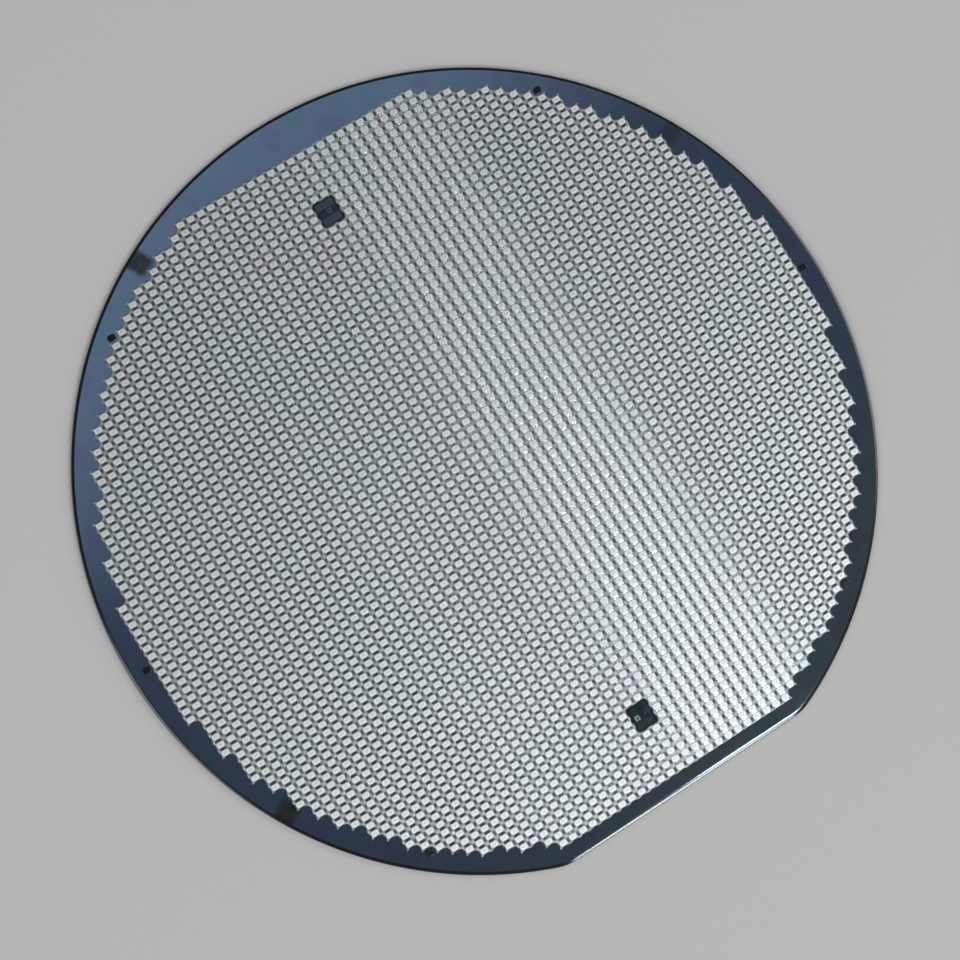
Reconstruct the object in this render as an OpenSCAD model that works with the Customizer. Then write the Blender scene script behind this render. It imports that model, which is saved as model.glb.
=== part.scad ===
// A finished silicon wafer: a thin round slice of silicon crystal with one primary flat, a ground edge,
// and a field of small dies that stand a little proud of its polished face.
// Millimetres. The back face lies on z = 0, the dies face +Z, the disc's axis is the Z axis,
// and the primary flat faces -Y.

/* [Disc] */
// Diameter of the round edge
wafer_d = 125; // [110:1:150]
// Thickness of the slice, without the dies
wafer_t = 0.625; // [0.5:0.005:0.8]
// Length of the primary flat
flat_len = 43.4; // [30:0.1:50]

/* [Ground edge] */
// Angle between the ground bevel and the face
bevel_angle = 22; // [18:1:35]
// Height of the upright land at the outermost edge
land_h = 0.1; // [0.06:0.01:0.16]
// Radius of the rounding between bevel and land
nose_r = 0.12; // [0.08:0.01:0.16]

/* [Dies] */
// Distance between die centres along a row
die_pitch_x = 1.79; // [1.5:0.01:2.1]
// Distance between one row of dies and the next
die_pitch_y = 1.382; // [1.2:0.001:1.8]
// Width of the bare margin that no die may enter
edge_exclusion = 2.5; // [2.5:0.1:6]
// Rows of dies beyond the middle row, on the side away from the flat
far_rows = 40; // [34:1:42]
// Height of the die field above the polished face
die_relief = 0.08; // [0.05:0.01:0.15]

/* [Streets] */
// Width of the round-bottomed moat between two rows
moat_w = 0.44; // [0.3:0.01:0.5]
// Depth of the moat
moat_depth = 0.05; // [0.03:0.005:0.07]

/* [Alignment] */
// Row, counted from the middle row, that holds the windows and the test sites
mark_row = 33; // [24:1:33]
// Columns of dies left out for each window
window_cols = 2; // [2:2:6]
// Rows of dies left out for each window
window_rows = 3; // [1:2:5]
// Side of the square key in a window
key_w = 0.7; // [0.5:0.05:1]
// Line width of the key
key_line = 0.16; // [0.1:0.01:0.22]
// Height of the key above the polished face
key_h = 0.04; // [0.02:0.01:0.06]
// Place of the key, left or right of the window's centre, in the window by the flat
near_key_x = -0.8; // [-1:0.05:1]
// The same in the window away from the flat
far_key_x = 0.2; // [-1:0.05:1]
// Gap round a test site
site_gap = 0.16; // [0.05:0.01:0.3]

/* [Hidden] */
$fn = 180;
silicon_blue = [0.17, 0.23, 0.36];
die_silver = [0.78, 0.80, 0.82];
site_black = [0.05, 0.06, 0.07];
// shapes on the face are rooted this deep in the disc, so that all of it is one solid
root = 0.1;
nose_steps = 4;
moat_facets = 40;
edge_r = wafer_d / 2;
flat_y = sqrt(pow(edge_r, 2) - pow(flat_len / 2, 2));
// the bevel falls from the face to the nose, and reaches in from the edge by bevel_w
bevel_drop = (wafer_t - land_h) / 2 - nose_r * cos(bevel_angle);
bevel_w = nose_r * (1 - sin(bevel_angle)) + bevel_drop / tan(bevel_angle);
face_r = edge_r - bevel_w;
field_r = edge_r - edge_exclusion;
field_top = wafer_t + die_relief;
near_rows = floor((flat_y - edge_exclusion) / die_pitch_y - 0.5);
// a circular cutter whose chord at the top is moat_w and whose depth is moat_depth
moat_r = (pow(moat_w / 2, 2) + pow(moat_depth, 2)) / (2 * moat_depth);

// Dies on each side of the centre line in row i: as many as lie wholly inside the edge exclusion.
function row_corner_y(i) = (abs(i) + 0.5) * die_pitch_y;
function is_row(i) = i >= -near_rows && i <= far_rows && row_corner_y(i) < field_r;
function row_dies(i) = is_row(i) ? floor(sqrt(pow(field_r, 2) - pow(row_corner_y(i), 2)) / die_pitch_x) : 0;
function row_end(i) = row_dies(i) * die_pitch_x;

// Corners of the field's right-hand side, from the flat upwards: one only where a row's length changes.
function row_corners(i) = [
    if (row_dies(i) != row_dies(i - 1)) [row_end(i), (i - 0.5) * die_pitch_y],
    if (row_dies(i) != row_dies(i + 1)) [row_end(i), (i + 0.5) * die_pitch_y]
];
right_side = [for (i = [-near_rows:far_rows]) if (row_dies(i) > 0) each row_corners(i)];
left_side = [for (k = [len(right_side) - 1:-1:0]) [-right_side[k][0], right_side[k][1]]];

// Rounding from the bevel to the land, above (side = 1) or below (side = -1) the mid-plane.
function nose(reach, side) = [
    for (k = [0:nose_steps])
        let (a = (90 - bevel_angle) * (side > 0 ? nose_steps - k : k) / nose_steps)
        [reach - nose_r + nose_r * cos(a), wafer_t / 2 + side * (land_h / 2 + nose_r * sin(a))]
];

// Section of the ground edge: solid from start to reach, measured outwards from the disc's axis.
module edge_section(start, reach) {
    polygon(concat(
        [[start, wafer_t], [reach - bevel_w, wafer_t]],
        nose(reach, 1),
        nose(reach, -1),
        [[reach - bevel_w, 0], [start, 0]]
    ));
}

// The slice: a turned disc, cut to the primary flat, with the same ground edge all the way round.
module slice() {
    intersection() {
        rotate_extrude()
            edge_section(0, edge_r);
        rotate([90, 0, -90])
            linear_extrude(height = 2 * wafer_d, center = true)
                edge_section(-wafer_d, flat_y);
    }
}

// One moat between row i and the next row up.
module moat(i) {
    translate([0, (i + 0.5) * die_pitch_y, field_top - moat_depth + moat_r])
        rotate([0, 90, 0])
            cylinder(h = wafer_d, r = moat_r, center = true, $fn = moat_facets);
}

// Place of a window, side = 1 away from the flat and side = -1 beside it.
module at_window(side) {
    translate([0, side * mark_row * die_pitch_y, 0])
        children();
}

module window_opening() {
    translate([0, 0, wafer_t + die_relief])
        cube([window_cols * die_pitch_x, window_rows * die_pitch_y, 2 * die_relief], center = true);
}

// The die field: one stepped plate, parted into rows by the moats and opened at the windows.
module die_field() {
    difference() {
        translate([0, 0, wafer_t - root])
            linear_extrude(height = root + die_relief)
                polygon(concat(right_side, left_side));
        for (i = [-near_rows - 1:far_rows])
            moat(i);
        for (side = [-1, 1])
            at_window(side) window_opening();
    }
}

// A square ring that the masks are lined up on.
module key(x) {
    translate([x, 0, wafer_t - root])
        linear_extrude(height = root + key_h)
            difference() {
                square(key_w, center = true);
                square(key_w - 2 * key_line, center = true);
            }
}

// A test site: one bare die just past the end of row i, on the side that side = 1 or -1 gives.
module test_site(i, side) {
    translate([side * (row_end(i) + die_pitch_x / 2), i * die_pitch_y, wafer_t + (die_relief - root) / 2])
        cube([die_pitch_x - 2 * site_gap, die_pitch_y - 2 * site_gap, root + die_relief], center = true);
}

module test_sites() {
    intersection() {
        for (i = [-mark_row, 0, mark_row], side = [-1, 1])
            test_site(i, side);
        cylinder(h = 2 * field_top, r = face_r);
    }
}

module wafer() {
    union() {
        color(silicon_blue) slice();
        color(die_silver) die_field();
        color(die_silver) {
            at_window(1) key(far_key_x);
            at_window(-1) key(near_key_x);
        }
        color(site_black) test_sites();
    }
}

wafer();
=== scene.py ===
# %% [markdown]
# # A silicon wafer
# A finished wafer is one thin round slice of a silicon crystal. More than four thousand small dies have been built
# up on its polished face, and a bare margin runs round them. This lesson dresses the plain solid of such a slice:
# the slice with its ground edge, the field of metallised dies with the moats between them, the two windows that
# masks are lined up on, and the blank test sites. Lengths are written in millimetres and turned into metres once,
# where a mesh is made.

import math

import bmesh
import bpy
import numpy as np
from mathutils import Matrix, Vector


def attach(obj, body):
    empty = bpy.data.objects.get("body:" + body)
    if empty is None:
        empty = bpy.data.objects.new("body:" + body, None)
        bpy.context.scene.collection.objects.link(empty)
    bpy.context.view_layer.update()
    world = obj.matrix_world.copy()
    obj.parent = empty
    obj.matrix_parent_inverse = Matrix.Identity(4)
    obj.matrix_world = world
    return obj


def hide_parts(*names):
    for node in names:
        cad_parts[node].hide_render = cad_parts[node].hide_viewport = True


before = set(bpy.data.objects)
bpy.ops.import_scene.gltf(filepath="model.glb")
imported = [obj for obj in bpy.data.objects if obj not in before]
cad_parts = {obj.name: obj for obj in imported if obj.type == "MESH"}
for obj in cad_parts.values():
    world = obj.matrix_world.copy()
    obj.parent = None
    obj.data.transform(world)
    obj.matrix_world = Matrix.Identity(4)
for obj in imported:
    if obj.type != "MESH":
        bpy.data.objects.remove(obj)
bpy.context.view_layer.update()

MM = 0.001
EDGE_R = 62.5
THICK = 0.625
FLAT_HALF = 21.7
FLAT_Y = math.sqrt(EDGE_R ** 2 - FLAT_HALF ** 2)
BEVEL_ANGLE = math.radians(22)
LAND = 0.1
NOSE_R = 0.12
PITCH_X = 1.79
PITCH_Y = 1.382
EXCLUSION = 2.5
FAR_ROWS = 40
RELIEF = 0.08
MARK_ROW = 33
MARK_Y = MARK_ROW * PITCH_Y
EMBED = 0.02
print("slice", 2 * EDGE_R, "mm across, with a flat", round(FLAT_Y, 3), "mm from the centre")

# %% [markdown]
# ## The camera
# The camera looks almost straight down on the die side. A long lens from 0.3 m keeps the rows nearly parallel, and
# the wafer is turned so that its flat lies at the lower right. `PICTURE_UP` is the direction in the wafer's plane,
# measured from +X, that points to the top of the picture.

# %% The camera
CAMERA_AT = Vector((-50.95, -9.41, 303.63)) * MM
LOOKS_AT = Vector((-1.94, -1.88, 0)) * MM
PICTURE_UP = math.radians(57.87)

lens = bpy.data.cameras.new("camera")
lens.lens = 75
lens.sensor_width = 36
lens.clip_start = 0.01
lens.clip_end = 20
camera = bpy.data.objects.new("camera", lens)
bpy.context.scene.collection.objects.link(camera)
forward = (LOOKS_AT - CAMERA_AT).normalized()
right = forward.cross(Vector((math.cos(PICTURE_UP), math.sin(PICTURE_UP), 0))).normalized()
turn = Matrix((right, right.cross(forward), -forward)).transposed()
camera.matrix_world = Matrix.Translation(CAMERA_AT) @ turn.to_4x4()
bpy.context.scene.camera = camera
print("camera", round((LOOKS_AT - CAMERA_AT).length, 4), "m from the wafer")

# %% [markdown]
# ## Helpers for meshes
# Every piece of this wafer is a sheet of points in rows. One helper joins such rows with quads, and one puts points
# and faces into a mesh that rides on the part. A flat cap is one face with many corners, which Blender splits into
# triangles by itself.

# %% Helpers for meshes
def new_piece(name, vertices, faces, *materials):
    """Makes a mesh object from points in millimetres and a list of faces, and hangs it on the body."""
    mesh = bpy.data.meshes.new(name)
    mesh.from_pydata((np.asarray(vertices) * MM).tolist(), [], faces)
    for material in materials:
        mesh.materials.append(material)
    piece = bpy.data.objects.new(name, mesh)
    bpy.context.scene.collection.objects.link(piece)
    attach(piece, "root")
    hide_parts("wafer")
    return piece


def smooth_below(piece, degrees):
    """Shades a piece smooth, with a crisp line wherever two faces meet at more than the given angle."""
    piece.data.shade_smooth()
    piece.data.set_sharp_from_angle(angle=math.radians(degrees))


def grid_faces(rows, columns, wrap):
    """Quads of a grid of points stored row by row: point (r, c) is number r * columns + c. wrap closes each row."""
    r, c = np.meshgrid(np.arange(rows - 1), np.arange(columns if wrap else columns - 1), indexing="ij")
    c2 = (c + 1) % columns
    quads = np.stack([r * columns + c, r * columns + c2, (r + 1) * columns + c2, (r + 1) * columns + c], -1)
    return quads.reshape(-1, 4)


# %% [markdown]
# ## Helpers for materials
# A procedural material is arithmetic on the place of a point. These short methods add one node each, so a formula
# can be written in one line. `band` is the one that draws: it turns a distance into a mask with a soft edge.

# %% Helpers for materials
class Nodes:
    """Adds shader nodes to a tree. Each method sets a node's inputs, from values or sockets, and returns its
    output."""

    def __init__(self, tree):
        self.tree = tree

    def add(self, kind, **settings):
        node = self.tree.nodes.new(kind)
        for key, value in settings.items():
            setattr(node, key, value)
        return node

    def feed(self, node, name, value):
        if isinstance(value, bpy.types.NodeSocket):
            self.tree.links.new(value, node.inputs[name])
        else:
            node.inputs[name].default_value = value

    def math(self, operation, *values):
        node = self.add("ShaderNodeMath", operation=operation)
        for k, value in enumerate(values):
            self.feed(node, k, value)
        return node.outputs[0]

    def vector(self, operation, *values, scale=None):
        node = self.add("ShaderNodeVectorMath", operation=operation)
        for k, value in enumerate(values):
            self.feed(node, k, value)
        if scale is not None:
            self.feed(node, "Scale", scale)
        return node.outputs[0]

    def band(self, value, low, high):
        """0 up to low, 1 from high on, and a smooth step between them. With low above high it falls instead."""
        node = self.add("ShaderNodeMapRange", interpolation_type="SMOOTHSTEP")
        self.feed(node, "Value", value)
        self.feed(node, "From Min", low)
        self.feed(node, "From Max", high)
        return node.outputs["Result"]

    def mix(self, factor, a, b):
        """Goes from a to b as the factor goes from 0 to 1; colours have four parts, plain numbers have one."""
        kind, a_name, b_name = ("RGBA", "A_Color", "B_Color")
        if isinstance(b, (int, float)):
            kind, a_name, b_name = ("FLOAT", "A_Float", "B_Float")
        node = self.add("ShaderNodeMix", data_type=kind)
        by_id = {socket.identifier: socket for socket in node.inputs}
        for socket, value in ((by_id["Factor_Float"], factor), (by_id[a_name], a), (by_id[b_name], b)):
            if isinstance(value, bpy.types.NodeSocket):
                self.tree.links.new(value, socket)
            else:
                socket.default_value = value
        return {socket.identifier: socket for socket in node.outputs}["Result_" + b_name[2:]]

    def place(self):
        """The x, y and z of the point in millimetres, and the plain coordinate for noise."""
        where = self.add("ShaderNodeTexCoord").outputs["Object"]
        parts = self.add("ShaderNodeSeparateXYZ")
        self.feed(parts, 0, where)
        return (*[self.math("DIVIDE", parts.outputs[k], MM) for k in range(3)], where)

    def radius(self, x, y):
        """sqrt(x^2 + y^2), the distance from the disc's axis."""
        return self.math("SQRT", self.math("ADD", self.math("MULTIPLY", x, x), self.math("MULTIPLY", y, y)))

    def noise(self, where, size, detail=2.0, seed=0.0):
        """Smooth noise whose lumps are about size millimetres across, from 0 to 1."""
        node = self.add("ShaderNodeTexNoise", noise_dimensions="4D")
        self.feed(node, "Vector", where)
        self.feed(node, "W", seed)
        self.feed(node, "Scale", 1 / (size * MM))
        self.feed(node, "Detail", detail)
        return node.outputs["Fac"]

    def oval(self, u, v, half_u, half_v, power):
        """|u / a|^n + |v / b|^n: 1 on the outline of an oval or rounded box, and less inside it."""
        first = self.math("POWER", self.math("DIVIDE", u, half_u), power)
        second = self.math("POWER", self.math("DIVIDE", v, half_v), power)
        return self.math("ADD", first, second)

    def use(self, group, **values):
        """Places a node group, sets its inputs and returns the node."""
        node = self.add("ShaderNodeGroup", node_tree=group)
        for name, value in values.items():
            self.feed(node, name, value)
        return node


def new_material(name, metallic=1.0):
    """An empty material: the material, the tool that adds its nodes, and its Principled shader."""
    material = bpy.data.materials.new(name)
    material.use_nodes = True
    shader = material.node_tree.nodes["Principled BSDF"]
    shader.inputs["Metallic"].default_value = metallic
    return material, Nodes(material.node_tree), shader


def new_group(name, inputs, outputs):
    """An empty node group with named sockets: the group, the tool that adds its nodes, its input and output nodes."""
    tree = bpy.data.node_groups.new(name, "ShaderNodeTree")
    for label, kind in inputs:
        tree.interface.new_socket(name=label, socket_type=kind, in_out="INPUT")
    for label, kind in outputs:
        tree.interface.new_socket(name=label, socket_type=kind, in_out="OUTPUT")
    n = Nodes(tree)
    return tree, n, n.add("NodeGroupInput"), n.add("NodeGroupOutput")


def rgb(red, green, blue):
    """A colour written with the 0-255 values that a screen shows, as the linear values that shaders use."""
    value = np.array([red, green, blue]) / 255
    return (*np.where(value <= 0.04045, value / 12.92, ((value + 0.055) / 1.055) ** 2.4).tolist(), 1.0)


# %% [markdown]
# ## Thin-film colour
# Oxide on silicon is thinner than a wavelength of light, so it colours what it covers, and its thickness drifts a
# little over the wafer. The drift is smooth noise that moves a colour between green, neutral and violet. The rim
# shows it strongly and the metal faintly, so it is one group with a strength.

# %% The film colour group
film_group, n, inlet, outlet = new_group(
    "film_drift",
    [("Color", "NodeSocketColor"), ("Strength", "NodeSocketFloat"), ("Size", "NodeSocketFloat")],
    [("Color", "NodeSocketColor")],
)
_, _, _, where = n.place()
drift = n.add("ShaderNodeTexNoise", noise_dimensions="4D")
n.feed(drift, "Vector", where)
n.feed(drift, "W", 3.7)
n.feed(drift, "Scale", n.math("DIVIDE", 1 / MM, inlet.outputs["Size"]))
n.feed(drift, "Detail", 2.5)
ramp = n.add("ShaderNodeValToRGB")
FILM_COLORS = [
    (0.36, (0.80, 1.0, 0.93, 1)),
    (0.46, (0.95, 1.0, 1.0, 1)),
    (0.53, (1.0, 0.98, 1.0, 1)),
    (0.64, (1.0, 0.84, 0.98, 1)),
]
for k, (position, color) in enumerate(FILM_COLORS):
    stop = ramp.color_ramp.elements[k] if k < 2 else ramp.color_ramp.elements.new(position)
    stop.position = position
    stop.color = color
n.feed(ramp, "Fac", drift.outputs["Fac"])
tint = n.add("ShaderNodeMix", data_type="RGBA", blend_type="MULTIPLY")
sockets = {socket.identifier: socket for socket in tint.inputs}
n.tree.links.new(inlet.outputs["Strength"], sockets["Factor_Float"])
n.tree.links.new(inlet.outputs["Color"], sockets["A_Color"])
n.tree.links.new(ramp.outputs["Color"], sockets["B_Color"])
n.feed(outlet, "Color", {socket.identifier: socket for socket in tint.outputs}["Result_Color"])
print("film colours:", len(FILM_COLORS))

# %% [markdown]
# ## Die cell
# The pattern repeats with the die pitch, so one group works out where a point lies in its die. `From X` and
# `From Y` are distances from the die's centre, `To X` and `To Y` from the middle of the nearest moat. `Outside` is
# the distance from the rounded outline of its pad and `Away` the direction in which it grows. `Chance` is one
# random number for each die.

# %% The die cell group
PAD_HALF = (0.60, 0.43)
PAD_CORNER = 0.20
cell_values = [(label, "NodeSocketFloat") for label in ("From X", "From Y", "To X", "To Y", "Outside", "Chance")]
cell_group, n, _, outlet = new_group("die_cell", [], cell_values + [("Away", "NodeSocketVector")])
x, y, _, _ = n.place()
cells_x = n.math("DIVIDE", x, PITCH_X)
cells_y = n.math("ADD", n.math("DIVIDE", y, PITCH_Y), 0.5)
past_corner = []
away = n.add("ShaderNodeCombineXYZ")
for label, cells, pitch, half in (("X", cells_x, PITCH_X, PAD_HALF[0]), ("Y", cells_y, PITCH_Y, PAD_HALF[1])):
    offset = n.math("SUBTRACT", n.math("FRACT", cells), 0.5)
    from_middle = n.math("MULTIPLY", n.math("ABSOLUTE", offset), pitch)
    n.feed(outlet, "From " + label, from_middle)
    past_corner.append(n.math("SUBTRACT", from_middle, half - PAD_CORNER))
    n.feed(away, label, n.math("MULTIPLY", n.math("SIGN", offset), n.math("MAXIMUM", past_corner[-1], 0.0)))
    n.feed(outlet, "To " + label, n.math("SUBTRACT", pitch / 2, from_middle))
squares = [n.math("POWER", n.math("MAXIMUM", part, 0.0), 2.0) for part in past_corner]
beyond = n.math("SQRT", n.math("ADD", *squares))
within = n.math("MINIMUM", n.math("MAXIMUM", *past_corner), 0.0)
n.feed(outlet, "Outside", n.math("SUBTRACT", n.math("ADD", beyond, within), PAD_CORNER))
n.feed(outlet, "Away", n.vector("NORMALIZE", away.outputs[0]))
number = n.add("ShaderNodeCombineXYZ")
n.feed(number, "X", n.math("FLOOR", cells_x))
n.feed(number, "Y", n.math("FLOOR", cells_y))
dice = n.add("ShaderNodeTexWhiteNoise", noise_dimensions="2D")
n.feed(dice, "Vector", number.outputs[0])
n.feed(outlet, "Chance", dice.outputs["Value"])
print("cell", PITCH_X, "by", PITCH_Y, "mm")

# %% [markdown]
# ## Die metal
# Each die carries a bright evaporated pad. Thinner metal runs out to its four corners and links it to its
# neighbours, and between the corners a moat opens as a dark, glassy bay. Ovals draw all of it, each given by two
# half widths and a power: a rounded box for the pad, a smaller one for painted shade that darkens the middle of the
# pad as a shallow dimple there would, one flat oval for each kind of bay, and two round the crossing of the streets,
# for its colour and its dullness. The bays are almost mirrors and the metal is dull.
#
# Guard rings, fine grooves etched round the die one outside the other, follow its outline out into the moat. A
# groove throws light only across itself. Between the rows all grooves run the same way, so together they draw a
# narrow lamp out into a band of light over the whole wafer, while the bays between the columns stay dark. Each
# groove is a half oval: with u from -1 to 1 across it, its slope is `steepness * u / sqrt(1 - u * u)`, and the 1 is
# made 1.02 to keep the slope finite. The grooves are finer than a pixel, so the slope tilts the normal directly.

# %% The die metal
PAD_METAL = (0.77, 0.79, 0.80, 1)
LINK_METAL = (0.275, 0.29, 0.305, 1)
CROSSING_METAL = (0.44, 0.455, 0.47, 1)
BAY_GLASS = (0.16, 0.172, 0.185, 1)
DIMPLE_SHADE_METAL = (0.50, 0.51, 0.52, 1)
GRAIN_METAL = (0.46, 0.47, 0.48, 1)
ODD_DIE_METAL = (0.54, 0.56, 0.57, 1)
ROW_BAY = (0.47, 0.22, 2.6)
COLUMN_BAY = (0.34, 0.235, 2.4)
PAD_OVAL = (0.585, 0.41, 3.2)
DIMPLE_SHADE_OVAL = (0.36, 0.24, 2.0)
CROSSING_OVAL = (0.32, 0.26, 2.0)
DULL_OVAL = (0.42, 0.40, 2.0)
RING_WIDTH = 0.04
RING_STEEPNESS = 0.22
INNERMOST_RING, FULL_RINGS = -0.24, -0.02


def guard_rings(n, cell):
    """The surface normal, tilted by the grooves that follow the outline of a die."""
    phase = n.math("FRACT", n.math("DIVIDE", cell["Outside"], RING_WIDTH))
    across = n.math("MULTIPLY_ADD", phase, 2.0, -1.0)
    fall = n.math("SQRT", n.math("SUBTRACT", 1.02, n.math("MULTIPLY", across, across)))
    steepness = n.math("MULTIPLY", n.band(cell["Outside"], INNERMOST_RING, FULL_RINGS), RING_STEEPNESS)
    slope = n.math("MULTIPLY", n.math("DIVIDE", across, fall), steepness)
    tilt = n.vector("SCALE", cell["Away"], scale=slope)
    normal = n.add("ShaderNodeNewGeometry").outputs["Normal"]
    return n.vector("NORMALIZE", n.vector("ADD", normal, tilt))


def build_die_metal():
    material, n, shader = new_material("die_metal")
    cell = n.use(cell_group).outputs
    row_oval = n.oval(cell["From X"], cell["To Y"], *ROW_BAY)
    column_oval = n.oval(cell["From Y"], cell["To X"], *COLUMN_BAY)
    nearest_oval = n.math("MINIMUM", row_oval, column_oval)
    bay = n.band(nearest_oval, 1.9, 0.3)
    glassy = n.band(nearest_oval, 1.3, 0.9)
    pad = n.band(n.oval(cell["From X"], cell["From Y"], *PAD_OVAL), 1.8, 0.5)
    dimple_shade = n.band(n.oval(cell["From X"], cell["From Y"], *DIMPLE_SHADE_OVAL), 1.5, 0.2)
    _, _, _, where = n.place()
    grain = n.noise(where, 0.16, 3.0)
    crossing = n.band(n.oval(cell["To X"], cell["To Y"], *CROSSING_OVAL), 1.0, 0.2)
    corner = n.band(n.oval(cell["To X"], cell["To Y"], *DULL_OVAL), 1.4, 0.6)
    metal = n.mix(pad, n.mix(crossing, LINK_METAL, CROSSING_METAL), PAD_METAL)
    # Painted shade: the middle of each pad is darkened as a shallow dimple there would shade it.
    metal = n.mix(n.math("MULTIPLY", dimple_shade, 0.45), metal, DIMPLE_SHADE_METAL)
    metal = n.mix(n.math("MULTIPLY", n.band(grain, 0.45, 0.70), 0.22), metal, GRAIN_METAL)
    metal = n.mix(n.math("MULTIPLY", cell["Chance"], 0.16), metal, ODD_DIE_METAL)
    color = n.use(film_group, Color=n.mix(bay, metal, BAY_GLASS), Strength=0.22, Size=13.0).outputs["Color"]
    n.feed(shader, "Base Color", color)
    n.feed(shader, "Roughness", n.mix(glassy, n.mix(corner, 0.50, 0.32), 0.085))
    n.feed(shader, "Normal", guard_rings(n, cell))
    return material


die_metal = build_die_metal()
print("pad, link and bay:", PAD_METAL[:3], LINK_METAL[:3], BAY_GLASS[:3])

# %% [markdown]
# ## Polished silicon, ground edge and lapped back
# The polished face is a dark mirror under its film. Its colour runs from slate by the flat to blue far from it,
# partly the film's real drift in thickness and partly a painted reflection of a bluish sky. Four clips held the
# wafer while metal was laid down, and each left a dark patch at the edge. The patches are a quarter turn apart, so
# one mask on the angle, taken modulo a quarter turn, draws all four, and a mask on y - x fades them towards the near
# right side. The ground edge is dark and even. The back keeps the faint arcs of the wheel that ground it.

# %% Polished silicon, ground edge and lapped back
CLIP_ANGLE = math.radians(28.5)
CLIP_HALF = 1.6
CLIP_INNER_R = 59.1
SLATE = (0.14, 0.19, 0.225, 1)
DEEP_BLUE = (0.125, 0.17, 0.28, 1)
PALE_BLUE_FILM_AND_SKY = (0.34, 0.50, 0.78, 1)
ARC_RADIUS = 55


def build_polished():
    material, n, shader = new_material("polished_silicon")
    x, y, _, where = n.place()
    # Slate near the flat, blue and pale blue far from it: partly film thickness, partly a painted reflection of a
    # bluish sky.
    film_and_sky_drift = n.math("MULTIPLY_ADD", n.math("SUBTRACT", n.noise(where, 45, 1.0, 1.3), 0.5), 50,
                    n.math("MULTIPLY_ADD", x, -0.3, y))
    film = n.mix(n.band(film_and_sky_drift, -62, -15), SLATE, DEEP_BLUE)
    film = n.mix(n.band(film_and_sky_drift, 8, 62), film, PALE_BLUE_FILM_AND_SKY)
    film = n.use(film_group, Color=film, Strength=1.0, Size=5.5).outputs["Color"]
    radius = n.radius(x, y)
    turn = n.math("DIVIDE", n.math("SUBTRACT", n.math("ARCTAN2", y, x), CLIP_ANGLE), math.pi / 2)
    off_clip = n.math("MULTIPLY", n.math("SUBTRACT", turn, n.math("ROUND", turn)), math.pi / 2)
    ragged = n.math("MULTIPLY", n.math("SUBTRACT", n.noise(where, 1.2, 2.0, 5.1), 0.5), 0.9)
    sideways = n.math("ADD", n.math("MULTIPLY", n.math("ABSOLUTE", off_clip), radius), ragged)
    clip = n.math("MULTIPLY", n.band(sideways, CLIP_HALF + 0.5, CLIP_HALF - 0.6),
                  n.band(n.math("ADD", radius, ragged), CLIP_INNER_R - 0.7, CLIP_INNER_R + 0.6))
    stain = n.mix(n.band(n.noise(where, 1.1, 2.0, 2.2), 0.35, 0.65), (0.035, 0.04, 0.045, 1), (0.09, 0.09, 0.058, 1))
    strong = n.band(n.math("SUBTRACT", y, x), -85, 30)
    color = n.mix(n.math("MULTIPLY", clip, n.math("MULTIPLY", strong, 0.85)), film, stain)
    n.feed(shader, "Base Color", color)
    n.feed(shader, "Roughness", n.mix(n.noise(where, 6, 3.0, 8.0), 0.05, 0.11))
    return material


def build_ground_edge():
    material, n, shader = new_material("ground_edge")
    _, _, _, where = n.place()
    shade = n.noise(where, 0.25, 3.0, 4.4)
    n.feed(shader, "Base Color", n.mix(shade, (0.022, 0.023, 0.026, 1), (0.045, 0.046, 0.05, 1)))
    n.feed(shader, "Roughness", n.mix(shade, 0.13, 0.22))
    return material


def build_lapped_back():
    """Grinding turns the wafer under a cup wheel, which leaves arcs: lines where angle + radius / ARC_RADIUS is
    constant."""
    material, n, shader = new_material("lapped_back")
    x, y, _, where = n.place()
    radius = n.radius(x, y)
    phase = n.math("MULTIPLY_ADD", radius, 1 / ARC_RADIUS, n.math("ARCTAN2", y, x))
    arcs = n.add("ShaderNodeCombineXYZ")
    n.feed(arcs, "X", n.math("COSINE", phase))
    n.feed(arcs, "Y", n.math("SINE", phase))
    lines = n.add("ShaderNodeTexNoise")
    n.feed(lines, "Vector", arcs.outputs[0])
    n.feed(lines, "Scale", 90)
    n.feed(lines, "Detail", 4)
    mottle = n.noise(where, 14, 2.0, 6.6)
    color = n.mix(n.band(lines.outputs["Fac"], 0.35, 0.65), (0.30, 0.31, 0.325, 1), (0.39, 0.40, 0.415, 1))
    color = n.mix(n.math("MULTIPLY", mottle, 0.35), color, (0.27, 0.28, 0.30, 1))
    n.feed(shader, "Base Color", color)
    n.feed(shader, "Roughness", n.mix(lines.outputs["Fac"], 0.36, 0.52))
    bump = n.add("ShaderNodeBump")
    n.feed(bump, "Height", lines.outputs["Fac"])
    n.feed(bump, "Strength", 0.08)
    n.feed(bump, "Distance", 0.0002)
    n.feed(shader, "Normal", bump.outputs["Normal"])
    return material


polished_silicon = build_polished()
ground_edge = build_ground_edge()
lapped_back = build_lapped_back()
print("clip marks at", [round(math.degrees(CLIP_ANGLE) + 90 * k, 1) for k in range(4)], "degrees")

# %% [markdown]
# ## The slice
# The slice is one edge profile carried round one outline. The outline is convex, so a ring at some depth is every
# outline point moved in along its own normal, and no shape has to be worked out twice. The corners at the ends of
# the flat are eased with an arc that is tangent to both the flat and the round edge.

# %% The slice
CORNER_R = 8.0
RIM_R = EDGE_R - 0.02
ARC_POINTS = 720
CORNER_POINTS = 24
FLAT_POINTS = 72
NOSE_STEPS = 8
FACE_MARGIN = 3.4
EASE = 0.05


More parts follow.
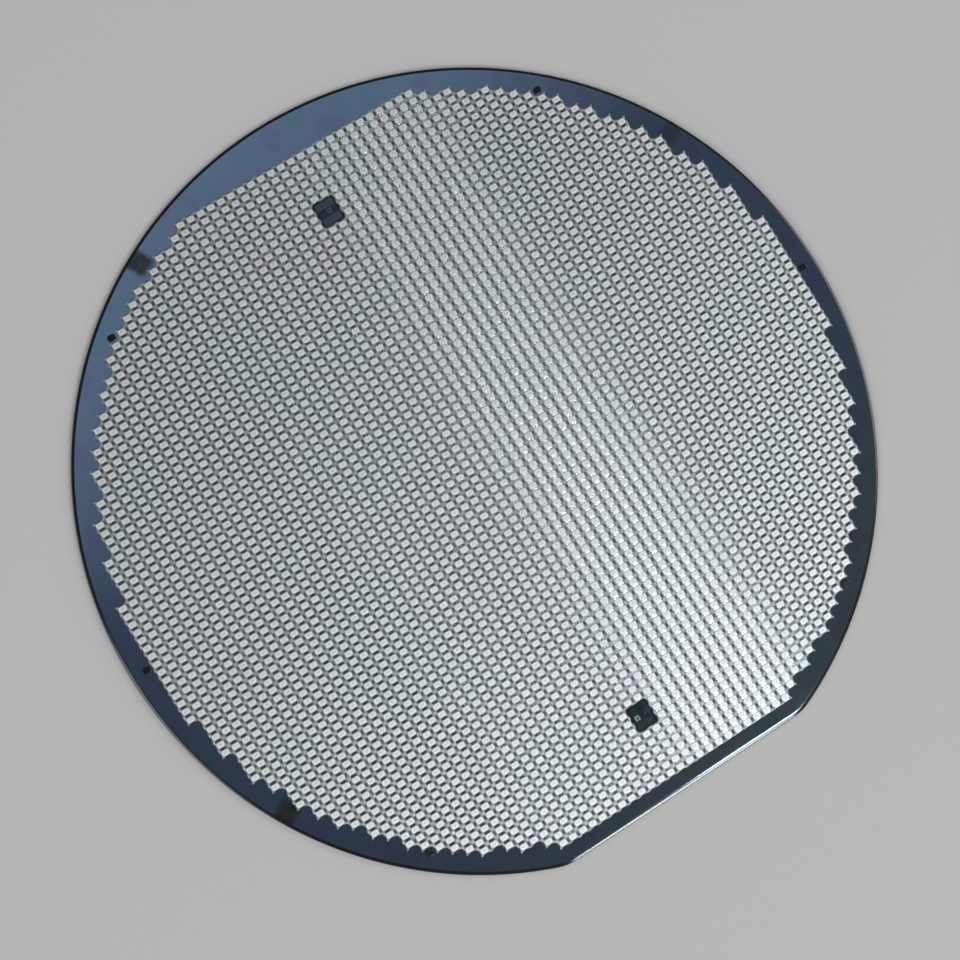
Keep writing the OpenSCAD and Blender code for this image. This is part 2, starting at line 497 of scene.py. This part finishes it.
def outline():
    """Points and outward normals: a circle of the rim's radius R, arcs of radius c about points at distance R - c
    from the middle and F - c from it along -Y, and the flat at distance F."""
    corner_y = FLAT_Y - CORNER_R
    corner_x = math.sqrt((RIM_R - CORNER_R) ** 2 - corner_y ** 2)
    start = math.atan2(-corner_y, corner_x)
    big = np.linspace(start, math.pi - start, ARC_POINTS)
    far = np.linspace(math.pi - start, 1.5 * math.pi, CORNER_POINTS)[1:]
    near = np.linspace(-math.pi / 2, start, CORNER_POINTS)[:-1]
    x = np.linspace(-corner_x, corner_x, FLAT_POINTS)[1:-1]

    def turned(angle, radius, middle_x, middle_y):
        normal = np.stack([np.cos(angle), np.sin(angle)], -1)
        return radius * normal + (middle_x, middle_y), normal

    flat = (np.stack([x, np.full_like(x, -FLAT_Y)], -1), np.tile([0.0, -1.0], (len(x), 1)))
    parts = [turned(big, RIM_R, 0, 0), turned(far, CORNER_R, -corner_x, -corner_y), flat,
             turned(near, CORNER_R, corner_x, -corner_y)]
    return np.concatenate([p for p, _ in parts]), np.concatenate([q for _, q in parts])


def edge_profile():
    """(depth from the edge, height) from the face down to the back: face, bevel, round nose, land, nose, bevel,
    back. The face rounds over into the bevel through two short steps."""
    turn = np.linspace(math.pi / 2 - BEVEL_ANGLE, 0, NOSE_STEPS)
    depth = NOSE_R - NOSE_R * np.cos(turn)
    height = LAND / 2 + NOSE_R * np.sin(turn)
    bevel = depth[0] + (THICK / 2 - height[0]) / math.tan(BEVEL_ANGLE)
    fall = EASE * math.tan(BEVEL_ANGLE)
    top = [(FACE_MARGIN, THICK / 2), (bevel + 8 * EASE, THICK / 2), (bevel + EASE, THICK / 2),
           (bevel, THICK / 2 - fall / 4), (bevel - EASE, THICK / 2 - fall)]
    top += list(zip(depth, height))
    return np.array(top + [(d, -h) for d, h in reversed(top)]) + (0, THICK / 2), bevel


profile, bevel_width = edge_profile()
edge_points, edge_normals = outline()
rings = edge_points[None, :, :] - profile[:, None, :1] * edge_normals[None, :, :]
heights = np.broadcast_to(profile[:, None, 1:], (*rings.shape[:2], 1))
around = len(edge_points)
walls = grid_faces(len(profile), around, wrap=True)[:, ::-1]
caps = [list(range(around)), list(range(len(profile) * around - 1, (len(profile) - 1) * around - 1, -1))]
slice_points = np.concatenate([rings, heights], -1).reshape(-1, 3)
silicon_slice = new_piece("silicon_slice", slice_points, walls.tolist() + caps,
                          polished_silicon, ground_edge, lapped_back)
wall_row = np.repeat(np.arange(len(profile) - 1), around)
finish = np.where(wall_row < 2, 0, np.where(wall_row >= len(profile) - 3, 2, 1))
silicon_slice.data.polygons.foreach_set("material_index", np.append(finish, [0, 2]).astype(np.int32))
smooth_below(silicon_slice, 12)
print("slice: bevel", round(bevel_width, 3), "mm wide,", len(profile), "rings of", around, "points")

# %% [markdown]
# ## Which cells hold a die
# A row holds every die that lies wholly inside the exclusion circle, so the stepped outline needs no list of points.
# Two windows, two dies wide and three rows high, are left open for the mask aligner.

# %% Which cells hold a die
NEAR_ROWS = math.floor((FLAT_Y - EXCLUSION) / PITCH_Y - 0.5)


def row_dies(rows):
    """Dies on each side of the centre line: floor(sqrt(r^2 - y^2) / pitch), with y at the row's outer corner."""
    y = (np.abs(rows) + 0.5) * PITCH_Y
    return np.floor(np.sqrt((EDGE_R - EXCLUSION) ** 2 - y ** 2) / PITCH_X).astype(int)


rows = np.arange(-NEAR_ROWS, FAR_ROWS + 1)
half_counts = row_dies(rows)
columns = np.arange(-half_counts.max(), half_counts.max())
filled = (columns[None, :] >= -half_counts[:, None]) & (columns[None, :] < half_counts[:, None])
filled &= ~((np.abs(np.abs(rows) - MARK_ROW) <= 1)[:, None] & ((columns >= -1) & (columns < 1))[None, :])
print("dies:", int(filled.sum()), "in", len(rows), "rows")

# %% [markdown]
# ## The die field
# Seen close, a die is a low pillow: flat on top, with etched sides that run down into the moats. Its height is one
# hump along x times the same hump along y, so the sides are straight and the corners round off by themselves. Where
# two moats cross, the same product upside down leaves a low island that links four dies. Every die has only seven
# by seven faces. Their shading comes from the true normals of the formula, which are given to the mesh, so few
# faces still look smooth. Where a die has no neighbour, its side bends in a little between its corners.

# %% The surface of the field
LINES = 7
FLAT_TOP_X = 0.50
FLAT_TOP_Y = 0.33
LENS_X = 0.12
LENS_Y = 0.11
WINDOW_PULL = 0.2
WINDOW_REACH = 3.5
MOAT_DEPTH = 0.03
MOAT_FLOOR = 0.14
CROSSING = 0.8


def cell_lines(pitch, flat_top):
    """Where a die's grid lines run from its centre: middle of the moat, foot of the side, its middle, edge of the
    flat top, and out again."""
    foot = pitch / 2 - MOAT_FLOOR
    side = (foot + flat_top) / 2
    return np.array([-pitch / 2, -foot, -side, -flat_top, flat_top, side, foot])


def hump(distance, pitch, flat_top):
    """Height and slope of a die: 1 on its flat top, then half a cosine wave down to 0 on the floor of the moat."""
    reach = pitch / 2 - MOAT_FLOOR - flat_top
    t = np.clip((np.abs(distance) - flat_top) / reach, 0, 1)
    return (1 + np.cos(np.pi * t)) / 2, -np.sign(distance) * np.pi / (2 * reach) * np.sin(np.pi * t)


def die_surface(x, y):
    """Height top - depth * (1 - a * b - k * (1 - a) * (1 - b)), and its normal. a and b are the humps along x and y
    from the die's centre, and k is how high the crossing of two moats stands against the die."""
    a, slope_a = hump(x - (np.floor(x / PITCH_X) + 0.5) * PITCH_X, PITCH_X, FLAT_TOP_X)
    b, slope_b = hump(y - np.floor(y / PITCH_Y + 0.5) * PITCH_Y, PITCH_Y, FLAT_TOP_Y)
    height = THICK + RELIEF - MOAT_DEPTH * (1 - a * b - CROSSING * (1 - a) * (1 - b))
    fall_x = -MOAT_DEPTH * slope_a * (b - CROSSING * (1 - b))
    fall_y = -MOAT_DEPTH * slope_b * (a - CROSSING * (1 - a))
    normal = np.stack([fall_x, fall_y, np.ones_like(x)], -1)
    return height, normal / np.linalg.norm(normal, axis=-1, keepdims=True)


def outer_pull(cells, lines, lines_across, pitch_across, lens):
    """How far points move in along a row of cells, at a side with no neighbour: lens * (1 - p^2), with p from -1 to
    1 along that side. The line next to the side moves half as far. cells has one row for each row of dies."""
    edges = np.diff(np.pad(cells.astype(float), ((0, 0), (1, 1))), axis=1)
    line = np.arange(cells.shape[1] * LINES + 1)
    moat = np.round(line / LINES).astype(int)
    weight = np.select([line == moat * LINES, np.abs(line - moat * LINES) == 1], [1.0, 0.5], 0.0)
    p = np.append(np.tile(lines_across, len(cells)), -pitch_across / 2) / (pitch_across / 2)
    cell = np.minimum(np.arange(len(p)) // LINES, len(cells) - 1)
    return edges[cell][:, moat] * weight[None, :] * (lens * (1 - p ** 2))[:, None]


lines_x = cell_lines(PITCH_X, FLAT_TOP_X)
lines_y = cell_lines(PITCH_Y, FLAT_TOP_Y)
grid_x = np.append(((columns[:, None] + 0.5) * PITCH_X + lines_x[None, :]).ravel(), (columns[-1] + 1) * PITCH_X)
grid_y = np.append((rows[:, None] * PITCH_Y + lines_y[None, :]).ravel(), (rows[-1] + 0.5) * PITCH_Y)
field_x, field_y = np.meshgrid(grid_x, grid_y)
by_window = (np.abs(field_x) < WINDOW_REACH) & (np.abs(np.abs(field_y) - MARK_Y) < WINDOW_REACH)
pull = np.where(by_window, WINDOW_PULL, 1.0)
pull_x = outer_pull(filled, lines_x, lines_y, PITCH_Y, LENS_X) * pull
pull_y = outer_pull(filled.T, lines_y, lines_x, PITCH_X, LENS_Y).T * pull
field_x, field_y = field_x + pull_x, field_y + pull_y
field_z, field_normals = die_surface(field_x, field_y)
field_points = np.stack([field_x, field_y, field_z], -1).reshape(-1, 3)
field_normals = field_normals.reshape(-1, 3)
field_quads = grid_faces(len(grid_y), len(grid_x), wrap=False).reshape(len(rows) * LINES, -1, 4)
quad_filled = np.repeat(np.repeat(filled, LINES, 0), LINES, 1)
side_reach = PITCH_Y - 2 * (FLAT_TOP_Y + MOAT_FLOOR)
print("steepest side", round(math.degrees(math.atan(MOAT_DEPTH * math.pi / side_reach)), 1), "degrees")

# %% [markdown]
# The field is cut along its rows into three pieces, to keep each one light. A piece is closed: a skirt goes down
# from every open side into the slice, and a floor shuts it below.

# %% The three parts of the field
def die_field(name, low, high):
    """The dies of rows low to high as one closed shell: the top, a skirt down into the slice, and a floor."""
    chosen = quad_filled & np.repeat((rows >= low) & (rows <= high), LINES)[:, None]
    used, quads = np.unique(field_quads[chosen], return_inverse=True)
    quads = quads.reshape(-1, 4)
    points = field_points[used]
    sides = np.concatenate([quads[:, [k, (k + 1) % 4]] for k in range(4)])
    low_high = np.sort(sides, 1)
    _, first, uses = np.unique(low_high[:, 0] * len(points) + low_high[:, 1], return_index=True, return_counts=True)
    rim = sides[first[uses == 1]]
    rim_points, foot_index = np.unique(rim, return_inverse=True)
    foot_index = foot_index.reshape(-1, 2) + len(points)
    foot = points[rim_points].copy()
    foot[:, 2] = THICK - EMBED
    skirt = np.stack([rim[:, 1], rim[:, 0], foot_index[:, 0], foot_index[:, 1]], -1)
    piece = new_piece(name, np.concatenate([points, foot]), quads.tolist() + skirt.tolist(), die_metal)
    shell = bmesh.new()
    shell.from_mesh(piece.data)
    bmesh.ops.edgeloop_fill(shell, edges=[edge for edge in shell.edges if edge.is_boundary])
    shell.to_mesh(piece.data)
    shell.free()
    smooth_below(piece, 25)
    normals = np.zeros((len(piece.data.loops), 3))
    normals[:quads.size] = field_normals[used][quads.ravel()]
    piece.data.normals_split_custom_set(normals.tolist())
    print(name, "has", sum(len(p.vertices) - 2 for p in piece.data.polygons), "triangles")


MIDDLE_ROWS = 11
die_field("die_field_near", -NEAR_ROWS, -MIDDLE_ROWS - 1)
die_field("die_field_middle", -MIDDLE_ROWS, MIDDLE_ROWS)
die_field("die_field_far", MIDDLE_ROWS + 1, FAR_ROWS)

# %% [markdown]
# ## Finishes of the test sites and windows
# Beside the stepped ends of a few rows sits one blank cell, a dark oval with no metal, where the layers are
# measured. The windows show the layered silicon below: violet-grey in the far window, teal-grey in the near one,
# with painted shade darkening each towards its edge, in the recess. In each stands a small square key for the
# aligner, worn in one window and under a film in the other. One mask on y tells the two windows apart.

# %% Dark finishes
EDGE_SHADE_COLOR = (0.015, 0.02, 0.025, 1)
PATCH_COLOR = (0.04, 0.05, 0.075, 1)
SPOT_X, SPOT_R = 0.6, 0.3


def far_side(n, y):
    """0 on the side by the flat and 1 on the far side."""
    return n.band(y, -10, 10)


def build_site_finish():
    material, n, shader = new_material("site_oxide")
    _, _, _, where = n.place()
    speck = n.noise(where, 0.35, 2.0, 9.0)
    n.feed(shader, "Base Color", n.mix(speck, (0.018, 0.022, 0.028, 1), (0.05, 0.055, 0.06, 1)))
    n.feed(shader, "Roughness", n.mix(speck, 0.22, 0.34))
    return material


def build_window_finish():
    """The oxide of both windows, with a dark band across the far one and two faint round spots in each."""
    material, n, shader = new_material("window_oxide")
    x, y, _, where = n.place()
    off_x = n.math("ABSOLUTE", x)
    off_y = n.math("ABSOLUTE", n.math("SUBTRACT", n.math("ABSOLUTE", y), MARK_Y))
    far = far_side(n, y)
    color = n.mix(far, (0.035, 0.055, 0.06, 1), (0.145, 0.175, 0.26, 1))
    across = n.math("MULTIPLY", n.band(off_y, 0.8, 0.5), far)
    color = n.mix(n.math("MULTIPLY", across, 0.7), color, (0.04, 0.05, 0.10, 1))
    patches = n.band(n.noise(where, 1.6, 2.0, 7.1), 0.38, 0.62)
    color = n.mix(n.math("MULTIPLY", patches, 0.3), color, PATCH_COLOR)
    from_spot = n.math("ABSOLUTE", n.math("SUBTRACT", off_x, SPOT_X))
    spot = n.band(n.oval(from_spot, off_y, SPOT_R, SPOT_R, 2.0), 1, 0.2)
    color = n.mix(n.math("MULTIPLY", spot, 0.35), color, (0.12, 0.14, 0.155, 1))
    # Painted shade: each window darkens towards its edge, where it lies recessed in the die field.
    edge_shade = n.band(n.oval(off_x, off_y, PITCH_X - 0.20, 1.5 * PITCH_Y - 0.22, 12.0), 0.7, 1.6)
    n.feed(shader, "Base Color", n.mix(edge_shade, color, EDGE_SHADE_COLOR))
    n.feed(shader, "Roughness", n.mix(patches, 0.16, 0.24))
    return material


def build_key_finish():
    material, n, shader = new_material("key_metal")
    _, y, _, where = n.place()
    worn = n.band(n.noise(where, 0.30, 2.0, 1.9), 0.40, 0.60)
    metal = n.mix(worn, (0.12, 0.14, 0.145, 1), (0.38, 0.43, 0.43, 1))
    under_film = n.math("MULTIPLY", far_side(n, y), 0.75)
    n.feed(shader, "Base Color", n.mix(under_film, metal, (0.07, 0.08, 0.12, 1)))
    n.feed(shader, "Roughness", n.mix(worn, 0.30, 0.42))
    return material


site_oxide = build_site_finish()
window_oxide = build_window_finish()
key_metal = build_key_finish()
print("window spots", SPOT_X, "mm off the middle")

# %% [markdown]
# ## Test sites, windows and keys
# A test site and a window floor are both low blocks with a rounded outline, so one function carries a ring of points
# up through a few levels. A key is a square tube lying flat. Blocks of one kind are joined into one piece.

# %% Blocks with a rounded outline
SITE_HALF = (0.68, 0.56)
SITE_TOP_HALF = (0.60, 0.49)
SITE_POWER = 2.6
SITE_EASE = 0.03
WINDOW_LIP = 0.08
WINDOW_POWER = 14.0
WINDOW_FILM = 0.006
KEY_HALF = 0.35
KEY_LINE = 0.16
KEY_HEIGHT = 0.04
NEAR_KEY = (-0.8, -MARK_Y)
FAR_KEY = (0.2, MARK_Y + 0.1)


def rounded_ring(half_x, half_y, power, sides=40):
    """Points on |x / a|^n + |y / b|^n = 1."""
    turn = np.linspace(0, 2 * math.pi, sides, endpoint=False)
    c, s = np.cos(turn), np.sin(turn)
    x = np.sign(c) * np.abs(c) ** (2 / power) * half_x
    y = np.sign(s) * np.abs(s) ** (2 / power) * half_y
    return np.stack([x, y], -1)


def carried_ring(x, y, levels):
    """A closed block from a list of (ring of points, height) from its foot to its top."""
    sides = len(levels[0][0])
    points = np.concatenate([np.column_stack([ring + (x, y), np.full(sides, z)]) for ring, z in levels])
    caps = [list(range(sides))[::-1], list(range((len(levels) - 1) * sides, len(levels) * sides))]
    return points, grid_faces(len(levels), sides, wrap=True).tolist() + caps


def square_frame(x, y):
    """A key: the outer and inner walls of a square ring, carried round as one closed tube."""
    low, high = THICK - EMBED, THICK + KEY_HEIGHT
    corners = np.array([(-1, -1), (1, -1), (1, 1), (-1, 1)])
    loops = [(KEY_HALF, low), (KEY_HALF, high), (KEY_HALF - KEY_LINE, high), (KEY_HALF - KEY_LINE, low)]
    points = np.concatenate([np.column_stack([corners * h + (x, y), np.full(4, z)]) for h, z in loops])
    faces = grid_faces(4, 4, wrap=True).tolist()
    faces += [[12 + k, 12 + (k + 1) % 4, (k + 1) % 4, k] for k in range(4)]
    return points, faces


def joined(name, blocks, material):
    """Several blocks as one piece."""
    starts = np.cumsum([0] + [len(points) for points, _ in blocks])
    faces = [[corner + start for corner in face] for (_, block), start in zip(blocks, starts) for face in block]
    piece = new_piece(name, np.concatenate([points for points, _ in blocks]), faces, material)
    smooth_below(piece, 20)


end_x, middle_x = (row_dies(np.array([MARK_ROW, 0])) + 0.5) * PITCH_X
site_places = [(-end_x, MARK_Y), (end_x, MARK_Y), (-end_x, -MARK_Y), (end_x, -MARK_Y), (-middle_x, 0), (middle_x, 0)]
site_ring = rounded_ring(*SITE_HALF, SITE_POWER)
site_levels = [(site_ring, THICK - EMBED), (site_ring, THICK + RELIEF - SITE_EASE),
               (rounded_ring(*SITE_TOP_HALF, SITE_POWER), THICK + RELIEF)]
joined("test_sites", [carried_ring(x, y, site_levels) for x, y in site_places], site_oxide)
window_ring = rounded_ring(PITCH_X + WINDOW_LIP, 1.5 * PITCH_Y + WINDOW_LIP, WINDOW_POWER, 64)
window_levels = [(window_ring, THICK - EMBED), (window_ring, THICK + WINDOW_FILM)]
joined("window_floors", [carried_ring(0, side * MARK_Y, window_levels) for side in (-1, 1)], window_oxide)
joined("alignment_keys", [square_frame(*NEAR_KEY), square_frame(*FAR_KEY)], key_metal)
print("test sites at", [(round(float(x), 2), round(float(y), 2)) for x, y in site_places])

# %% [markdown]
# ## The stage
# The wafer lies on plain matt paper, a little above it so that the two faces don't fight.

# %% The stage
FLOOR_Z = -0.00002

paper, _, shader = new_material("stage_paper", metallic=0.0)
shader.inputs["Base Color"].default_value = rgb(174, 173, 172)
shader.inputs["Roughness"].default_value = 0.9
shader.inputs["Specular IOR Level"].default_value = 0.0
bpy.ops.mesh.primitive_plane_add(size=6, location=(0, 0, FLOOR_Z))
floor = bpy.context.object
floor.name = "floor"
floor.data.materials.append(paper)
print("floor", [round(v, 2) for v in floor.dimensions], "m")

# %% [markdown]
# ## The lamps
# One narrow strip lamp hangs beyond the flat. A flat mirror at `STRIP_Y`, off the wafer, would show it to the camera,
# so the flat silicon doesn't, but the grooves between the rows throw it back all along one band across the wafer. A
# small lamp lights the bevel along the flat, and two wide lamps at the sides fill in. Altogether a colour renders
# about as it is written.

# %% The lamps
STRIP_X = 18.0
STRIP_Y = -120.0
COOL = (0.95, 1.0, 1.0)


def mirror_place(x, y, height, tilt=0.0):
    """Where a lamp must hang so that a mirror at (x, y), tilted towards -Y, shows it to the camera."""
    spot = Vector((x * MM, y * MM, THICK * MM))
    ray = (CAMERA_AT - spot).normalized()
    face = Vector((0, -math.sin(tilt), math.cos(tilt)))
    back = 2 * ray.dot(face) * face - ray
    return spot + back * (height / back.z)


def area_lamp(name, place, size, radiance, color=(1, 1, 1)):
    """A rectangular lamp facing the wafer. Blender wants its power, which is pi * radiance * area."""
    light = bpy.data.lights.new(name, "AREA")
    light.shape = "RECTANGLE"
    light.size, light.size_y = size
    light.energy = radiance * math.pi * size[0] * size[1]
    light.color = color
    lamp = bpy.data.objects.new(name, light)
    bpy.context.scene.collection.objects.link(lamp)
    away = place.normalized()
    across = away.cross(Vector((1, 0, 0))).normalized()
    turn = Matrix((across.cross(away), across, away)).transposed()
    lamp.matrix_world = Matrix.Translation(place) @ turn.to_4x4()
    print(name, "at", [round(v, 2) for v in place], "m")


area_lamp("strip_near", mirror_place(STRIP_X, STRIP_Y, 1.2), (0.108, 0.40), 31, COOL)
area_lamp("bevel_lamp", mirror_place(-1.5, -FLAT_Y, 0.8, BEVEL_ANGLE), (0.24, 0.14), 48)
area_lamp("left_lamp", Vector((-1.40, -0.20, 0.75)), (0.9, 0.9), 4.6)
area_lamp("right_lamp", Vector((1.45, -0.20, 0.65)), (0.9, 0.9), 4.0)

# %% [markdown]
# ## The sky
# A dim sky lights everything else. It is darkest overhead and brighter towards the horizon, most of all on the near
# side, so the metal grows brighter towards the flat.

# %% The sky
def build_world(zenith, toward_y, horizon, near_side, most):
    """Radiance = zenith + toward_y * y + (horizon - near_side * y) * (1 - z^2)^2, between 0.05 and a limit."""
    world = bpy.data.worlds.new("world")
    world.use_nodes = True
    n = Nodes(world.node_tree)
    parts = n.add("ShaderNodeSeparateXYZ")
    n.feed(parts, 0, n.add("ShaderNodeTexCoord").outputs["Generated"])
    low = n.math("SUBTRACT", 1, n.math("MULTIPLY", parts.outputs["Z"], parts.outputs["Z"]))
    edge = n.math("MULTIPLY_ADD", parts.outputs["Y"], -near_side, horizon)
    level = n.math("MULTIPLY_ADD", n.math("MULTIPLY", low, low), edge, zenith)
    level = n.math("MULTIPLY_ADD", parts.outputs["Y"], toward_y, level)
    level = n.math("MINIMUM", n.math("MAXIMUM", level, 0.05), most)
    background = world.node_tree.nodes["Background"]
    n.feed(background, "Strength", level)
    background.inputs["Color"].default_value = (0.98, 1.0, 1.02, 1)
    bpy.context.scene.world = world


build_world(zenith=0.24, toward_y=0.14, horizon=0.52, near_side=0.72, most=1.5)
bpy.context.scene.view_settings.view_transform = "Standard"
print("sky made")
